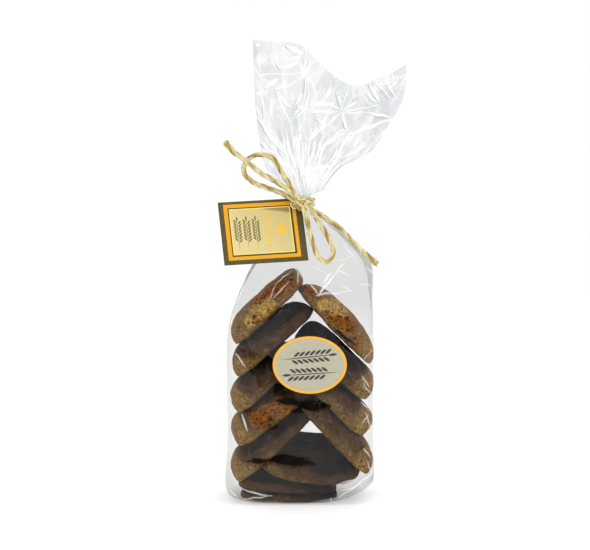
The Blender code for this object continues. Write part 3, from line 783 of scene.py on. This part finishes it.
def sharpen(data):
    """Splits the film's front faces near its creases and clear patches, so that those end sharply."""
    creases = FLARE_CREASES + BODY_CREASES
    for reach, shortest in SHARPENINGS:
        points, normals = points_and_normals(data)
        near = stroke_marks(points, creases, reach) > 0.01
        clear = patch_marks(points)
        front = normals[:, 1] < 0.0
        mesh = bmesh.new()
        mesh.from_mesh(data)
        split = []
        for edge in mesh.edges:
            first, second = (vert.index for vert in edge.verts)
            if not (front[first] and front[second]) or edge.calc_length() < shortest * MM:
                continue
            if near[first] or near[second] or abs(clear[first] - clear[second]) > 0.05:
                split.append(edge)
        bmesh.ops.subdivide_edges(mesh, edges=split, cuts=1, use_grid_fill=True)
        mesh.to_mesh(data)
        mesh.free()


def make_film():
    """The bag's film, from its solid: open at the mouth, with finer folds and crumples."""
    data = film_mesh()
    sharpen(data)
    points, normals = points_and_normals(data)
    folds, loose = film_folds(points, normals)
    front = normals[:, 1] < 0.0
    in_flare, in_body = points[:, 2] > NECK_LEVEL, points[:, 2] < NECK_LEVEL
    wandering = warped(points, *WANDER)
    # The creases get painted white highlights and are raised a little.
    crease = stroke_marks(wandering, FLARE_CREASES, halo=0.35) * in_flare
    crease += stroke_marks(wandering, BODY_CREASES, halo=0.25) * in_body
    crease *= front
    # Painted shade: grey lines beside the creases.
    shade = stroke_marks(wandering + SHADE_OFFSET, FLARE_CREASES) * in_flare * front
    shade = np.clip(shade - stroke_marks(wandering, FLARE_CREASES), 0.0, 1.0)
    shade *= step_between(-0.15, 0.15, noise_at(points, 12.0, 21.0))
    # Painted reflection: the veil over the front below the shoulder, except on the clear patches.
    veil = (1.0 - patch_marks(points)) * front
    veil *= 1.0 - step_between(SHOULDER_LEVEL, SHOULDER_LEVEL + 20.0, points[:, 2])

    height = crumple(folds, CRUMPLE_SIZES[0]) + 0.4 * crumple(folds + 31.0, CRUMPLE_SIZES[1])
    neck_gap = np.clip(np.abs(points[:, 2] - NECK_LEVEL) / NECK_SMOOTH - 0.25, 0.0, 1.0)
    above_base = np.clip(points[:, 2] / BASE_SMOOTH, 0.0, 1.0)
    amount = (BODY_CRUMPLE + (FLARE_CRUMPLE - BODY_CRUMPLE) * loose) * neck_gap * above_base
    near_label = np.hypot(
        (points[:, 0] - LABEL_MIDDLE[0]) / LABEL_HALF[0],
        (points[:, 2] - LABEL_MIDDLE[2]) / LABEL_HALF[2],
    )
    free = np.where(front, step_between(*LABEL_SMOOTH, near_label), 1.0)
    raised = (height * amount + CREASE_HEIGHT * crease * neck_gap) * free
    sideways = 1.0 - 0.7 * loose
    outward = normals * np.stack([sideways, np.ones(len(loose)), sideways], axis=1)
    move_vertices(data, points + outward * raised[:, None])

    set_attribute(data, "folds", "FLOAT_VECTOR", folds)
    set_attribute(data, "loose", "FLOAT", loose)
    marks = np.stack([crease, shade, veil, np.ones(len(veil))], axis=1)
    set_attribute(data, "marks", "FLOAT_COLOR", marks)
    data.materials.clear()
    data.materials.append(film_material())
    data.shade_smooth()
    ride_for(add_object("film", data), "bag")


def dome(direction, biscotto, half_length):
    """A point of a domed oval biscuit with a flat base, from a direction out of its middle."""
    spread = math.hypot(direction.x, direction.y)
    turn = math.atan2(direction.y, direction.x)
    power = PLAN_SQUARENESS
    half_depth = BISCUIT_DEPTH / 2.0
    outline = (
        abs(math.cos(turn) / half_length) ** power + abs(math.sin(turn) / half_depth) ** power
    ) ** (-1.0 / power)
    reach = min(spread, 1.0) ** 0.8
    inward = 0.5 + 0.5 * reach * math.cos(turn)
    thickness = biscotto.thickness[0] * (1.0 - inward) + biscotto.thickness[1] * inward
    bluntness = biscotto.bluntness[0] * (1.0 - inward) + biscotto.bluntness[1] * inward
    rim = thickness * RIM_HEIGHT
    if direction.z >= 0.0:
        height = rim + (thickness - rim) * max(1.0 - reach**bluntness, 0.0) ** 0.5
    else:
        height = rim * (1.0 - max(1.0 - reach**RIM_SHARPNESS, 0.0) ** 0.5)
    past = biscotto.overhang * inward**2 * (height / thickness) ** 0.5
    return Vector((outline * reach * math.cos(turn) + past, outline * reach * math.sin(turn), height))


def spot_marks(points, spots, soft):
    """From 0 to 1, how much round spots mark each point of a biscuit's front half."""
    marks = np.zeros(len(points))
    for x, z, radius in spots:
        distance = np.hypot(points[:, 0] - x, points[:, 2] - z)
        marks = np.maximum(marks, 1.0 - step_between(radius * (1.0 - soft), radius * (1.0 + soft), distance))
    return marks * (points[:, 1] < 0.0)


def biscuit_axes(biscotto):
    """The directions along, back and up of a biscuit as it lies."""
    (x0, z0), (x1, z1) = biscotto.outer, biscotto.inner
    along = Vector((x1 - x0, 0.0, z1 - z0)).normalized()
    up = Vector((-along.z, 0.0, along.x))
    if up.z < 0.0:
        up.negate()
    back = Vector((0.0, 1.0, 0.0))
    lean = math.radians(biscotto.lean)
    leaned = back * math.cos(lean) + up * math.sin(lean)
    return along, leaned, up * math.cos(lean) - back * math.sin(lean)


def make_biscuit(name, biscotto, crust, seed):
    """A biscuit shaped from a fine cube, with its painted shade and how orange and pale its crust is at each
    point.
    """
    along, back, up = biscuit_axes(biscotto)
    (x0, z0), (x1, z1) = biscotto.outer, biscotto.inner
    half_length = math.hypot(x1 - x0, z1 - z0) / 2.0 + END_OVERHANG
    middle = Vector(((x0 + x1) / 2.0, 0.0, (z0 + z1) / 2.0))
    mesh = bmesh.new()
    bmesh.ops.create_cube(mesh, size=2.0)
    bmesh.ops.subdivide_edges(mesh, edges=mesh.edges, cuts=BISCUIT_CUTS, use_grid_fill=True)
    local = []
    for vert in mesh.verts:
        shaped = dome(vert.co.normalized(), biscotto, half_length)
        local.append(tuple(shaped))
        vert.co = (middle + along * shaped.x + back * shaped.y + up * shaped.z) * MM
    bmesh.ops.recalc_face_normals(mesh, faces=mesh.faces)
    data = bpy.data.meshes.new(name)
    mesh.to_mesh(data)
    mesh.free()

    local = np.array(local)
    points, normals = points_and_normals(data)
    lumps = sum(height * noise_at(local, size, seed * factor) for height, size, factor in LUMPS)
    holes = spot_marks(points, HOLES, 0.6)
    move_vertices(data, points + normals * (lumps - HOLE_DEPTH * holes)[:, None])

    share_along = local[:, 0] / half_length
    share_up = local[:, 2] / max(biscotto.thickness)
    patches = noise_at(local, UNEVEN_SIZES[0], seed * 2.9)
    patches += 0.5 * noise_at(local, UNEVEN_SIZES[1], seed * 1.7)
    # Painted shade: darker towards the crown, which lies under the biscuit above, and towards the inner end;
    # somewhat darker along the foot, whose underside is shaded; less of it at the outer end.
    painted_shade = biscotto.crown_shade * (0.40 + 0.65 * step_between(0.15, 0.75, share_up))
    painted_shade += biscotto.crown_shade * 0.35 * step_between(-0.3, 0.6, share_along)
    painted_shade = np.maximum(painted_shade, 0.28 * step_between(0.28, 0.08, share_up))
    painted_shade -= biscotto.lighter_end * step_between(-0.38, -0.78, share_along)
    vivid = spot_marks(points + 2.5 * patches[:, None], VIVID_PATCHES, 0.5)
    painted_shade = np.clip(painted_shade + 0.12 * patches * step_between(0.05, 0.5, painted_shade) - vivid, 0.0, 1.0)
    front = points[:, 1] < 0.0
    # Painted shadow: near-black strokes where the gaps between biscuits lie in shade.
    painted_shade = np.maximum(painted_shade, stroke_marks(points + 0.8 * patches[:, None], SHADOW_STROKES) * front)
    pale = 0.55 * biscotto.lighter_end * step_between(-0.42, -0.85, share_along)
    pale *= 0.55 + 0.45 * step_between(-0.3, 0.3, patches)
    pale = np.maximum(pale, spot_marks(points + 1.5 * patches[:, None], PALE_PATCHES, 0.4))
    # The crust attribute carries the painted shade, the orange patches and the pale patches.
    marks = np.stack([painted_shade, vivid, pale, np.ones(len(painted_shade))], axis=1)
    set_attribute(data, "crust", "FLOAT_COLOR", marks)
    set_attribute(data, "hole", "FLOAT", holes)
    data.materials.append(crust)
    data.shade_smooth()
    ride_for(add_object("biscotto_" + name, data), "bag")


def path_frames(path, closed):
    """Two directions across the path at each point, which turn as little as they can."""
    ahead = np.roll(path, -1, axis=0) - np.roll(path, 1, axis=0)
    if not closed:
        ahead[0], ahead[-1] = path[1] - path[0], path[-1] - path[-2]
    ahead /= np.linalg.norm(ahead, axis=1)[:, None]
    first = np.cross(ahead[0], (0.0, 0.3, 1.0))
    across = [first / np.linalg.norm(first)]
    for direction in ahead[1:]:
        side = across[-1] - direction * np.dot(across[-1], direction)
        across.append(side / np.linalg.norm(side))
    across = np.array(across)
    return across, np.cross(ahead, across)


def tube(parts, path, radii, golden, closed=False, sides=10):
    """Adds a tube along the path to the points, faces and marks, which are fibre places and golden shares."""
    points, faces, marks = parts
    across, up = path_frames(path, closed)
    start = len(points)
    lengths = np.concatenate([[0.0], np.cumsum(np.linalg.norm(np.diff(path, axis=0), axis=1))])
    for index, centre in enumerate(path):
        for side in range(sides):
            angle = 2.0 * math.pi * side / sides
            offset = across[index] * math.cos(angle) + up[index] * math.sin(angle)
            points.append(centre + offset * radii[index])
            fibre = (math.cos(angle) * 2.2, math.sin(angle) * 2.2, lengths[index] * 0.22)
            marks.append((*fibre, golden[index]))
    count = len(path)
    for index in range(count if closed else count - 1):
        here, after = start + index * sides, start + (index + 1) % count * sides
        for side in range(sides):
            turn = (side + 1) % sides
            faces.append((here + side, here + turn, after + turn, after + side))
    if not closed:
        faces.append(tuple(start + side for side in reversed(range(sides))))
        faces.append(tuple(start + (count - 1) * sides + side for side in range(sides)))


def twisted(parts, stations, seed, closed=False, thin=1.0, spread=(1.0, 1.0)):
    """Strands of twine twisted round each other along a route. spread widens its two ends."""
    path = stations if closed else smooth_path(stations, STRAND_STEP)
    across, up = path_frames(path, closed)
    step = np.linalg.norm(path[1] - path[0])
    places = np.arange(len(path)) * step
    along = places / places[-1]
    flat = np.zeros(len(path))
    turns = max(1, round(places[-1] / TWIST_LENGTH)) if closed else places[-1] / TWIST_LENGTH
    wobble = noise_at(np.stack([places, flat, flat], axis=1), 9.0, seed * 3.7)
    wide = 1.0 + (spread[0] - 1.0) * (1.0 - along) ** 4 + (spread[1] - 1.0) * along**10
    for strand in range(TWINE_STRANDS):
        angle = 2.0 * math.pi * turns * places / (places[-1] + (step if closed else 0.0))
        angle = angle + 2.0 * math.pi * strand / TWINE_STRANDS + seed
        if not closed:
            angle = angle + 0.7 * wobble
        offset = across * np.cos(angle)[:, None] + up * np.sin(angle)[:, None]
        centre = path + offset * (STRAND_OFFSET * thin * wide)[:, None]
        spot = np.stack([places, flat + 9.0 * strand, flat], axis=1)
        radii = (STRAND_RADIUS + STRAND_UNEVENNESS * noise_at(spot, 5.0, seed)) * thin * wide**0.5
        golden = step_between(0.25, 0.75, GOLDEN_SHARE[strand] + 0.9 * noise_at(spot, 9.0, seed * 1.3))
        tube(parts, centre, radii, golden, closed)


def fray(parts, stations, count, length, spread, seed):
    """Loose fibres at the end of a strand."""
    draw = random.Random(seed)
    end = Vector(stations[-1])
    ahead = (end - Vector(stations[-2])).normalized()
    for _ in range(count):
        aside = Vector((draw.uniform(-1, 1), draw.uniform(-1, 1), draw.uniform(-1, 1)))
        aside -= ahead * aside.dot(ahead)
        start = end - ahead * draw.uniform(1.0, 5.0) + aside * 0.9
        reach = length * draw.uniform(0.3, 1.0)
        tip = end + ahead * reach + aside * spread
        middle = (start + tip) / 2.0 + aside * spread * 0.15
        path = smooth_path([start, middle, tip], 1.2)
        radii = np.linspace(0.50, 0.14, len(path))
        tube(parts, path, radii, np.full(len(path), draw.uniform(0.0, 0.4)), sides=6)


def neck_turn(height):
    """A ring of twine round the neck."""
    angles = 2.0 * math.pi * np.arange(TURN_SIDES) / TURN_SIDES
    x = TWINE_TURN_RADIUS * np.cos(angles)
    y = TWINE_TURN_RADIUS * np.sin(angles)
    return np.stack([NECK_X + x, y, height + math.tan(TWINE_TURN_TILT) * x], axis=1)


def knot_route(turn, size, lean):
    """A ring of twine round the knot, tilted its own way."""
    angles = 2.0 * math.pi * np.arange(KNOT_SIDES) / KNOT_SIDES
    flat = np.stack([size[0] * np.cos(angles), size[1] * np.sin(angles), angles * 0.0], axis=1)
    tilt = Matrix.Rotation(turn, 3, "Y") @ Matrix.Rotation(lean, 3, "X")
    return flat @ np.array(tilt).T + np.array(KNOT_CENTRE)


def make_twine():
    """The twine on the solid's routes: its loops, ends and strands, the turns, the knot and loose fibres."""
    points, faces, marks = parts = [], [], []
    routes = (UPPER_LOOP, UPPER_END, LOWER_LOOP, LOWER_END, TAG_STRAND, NECK_STRAND)
    for seed, route in enumerate(routes):
        loose_end = END_WIDENING if route in (UPPER_END, LOWER_END) else 1.0
        twisted(parts, route, 1.3 + seed * 1.9, spread=(1.0, loose_end))
    for seed, height in enumerate(TWINE_TURN_HEIGHTS):
        twisted(parts, neck_turn(height), 0.4 + seed, closed=True)
    for seed, ring in enumerate(KNOT_RINGS):
        twisted(parts, knot_route(*ring), 2.0 + seed, closed=True, thin=KNOT_THINNING)
    fray(parts, UPPER_END, 12, 1.6, 1.2, SEED)
    fray(parts, LOWER_END, 26, 2.6, 2.2, SEED + 1)
    twine = mesh_object("twisted_twine", points, faces)
    marks = np.array(marks)
    set_attribute(twine.data, "fibre", "FLOAT_VECTOR", marks[:, :3])
    set_attribute(twine.data, "golden", "FLOAT", marks[:, 3])
    twine.data.materials.append(twine_material())
    ride_for(twine, "twine")


def dress_node(name, material):
    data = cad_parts[name].data
    data.materials.clear()
    data.materials.append(material)


def make_floor():
    mesh = bmesh.new()
    bmesh.ops.create_grid(mesh, x_segments=1, y_segments=1, size=FLOOR_HALF)
    data = bpy.data.meshes.new("floor")
    mesh.to_mesh(data)
    mesh.free()
    floor = add_object("floor", data)
    material, tree, shader = new_material("pale_floor")
    feed(tree, shader, {"Base Color": (0.82, 0.82, 0.82, 1.0), "Roughness": 0.9, "Specular IOR Level": 0.1})
    feed(tree, shader, {"Emission Color": (1.0, 1.0, 1.0, 1.0), "Emission Strength": FLOOR_GLOW})
    floor.data.materials.append(material)
    floor.location.z = -FLOOR_DROP


def area_light(name, place, size, power):
    data = bpy.data.lights.new(name, "AREA")
    data.shape = "RECTANGLE"
    data.size, data.size_y = size
    data.energy = power
    light = add_object(name, data)
    light.location = place
    direction = Vector(LIGHTS_AIM) - Vector(place)
    light.rotation_euler = direction.to_track_quat("-Z", "Y").to_euler()


def make_lights():
    world = bpy.data.worlds.new("studio")
    bpy.context.scene.world = world
    world.use_nodes = True
    tree = world.node_tree
    feed(tree, tree.nodes["Background"], {"Color": (1.0, 1.0, 1.0, 1.0), "Strength": 1.0})
    area_light("key", (-0.7, -0.8, 1.0), (0.25, 0.7), 4.0)
    area_light("fill", (0.9, -0.5, 0.7), (0.2, 0.8), 2.5)
    area_light("rim", (0.3, 0.9, 0.8), (0.6, 0.2), 3.0)


def make_camera():
    data = bpy.data.cameras.new("camera")
    camera = add_object("camera", data)
    aim = Vector(CAMERA_TARGET) * MM
    away = Vector((0.0, -math.cos(CAMERA_ELEVATION), math.sin(CAMERA_ELEVATION)))
    camera.location = aim + away * CAMERA_DISTANCE * MM
    camera.rotation_euler = (-away).to_track_quat("-Z", "Y").to_euler()
    data.sensor_fit = "HORIZONTAL"
    data.angle = 2.0 * math.atan(VIEW_WIDTH / 2.0 / CAMERA_DISTANCE)
    data.clip_start = 0.01
    data.clip_end = 100.0
    bpy.context.scene.camera = camera


def main():
    scene = bpy.context.scene
    scene.view_settings.view_transform = "Standard"
    make_camera()
    make_film()
    crust = crust_material()
    for seed, (name, biscotto) in enumerate(BISCOTTI.items()):
        make_biscuit(name, biscotto, crust, seed + 1.0)
    make_twine()
    dress_node("hang_tag", tag_material())
    dress_node("oval_label", label_material())
    make_floor()
    make_lights()


main()
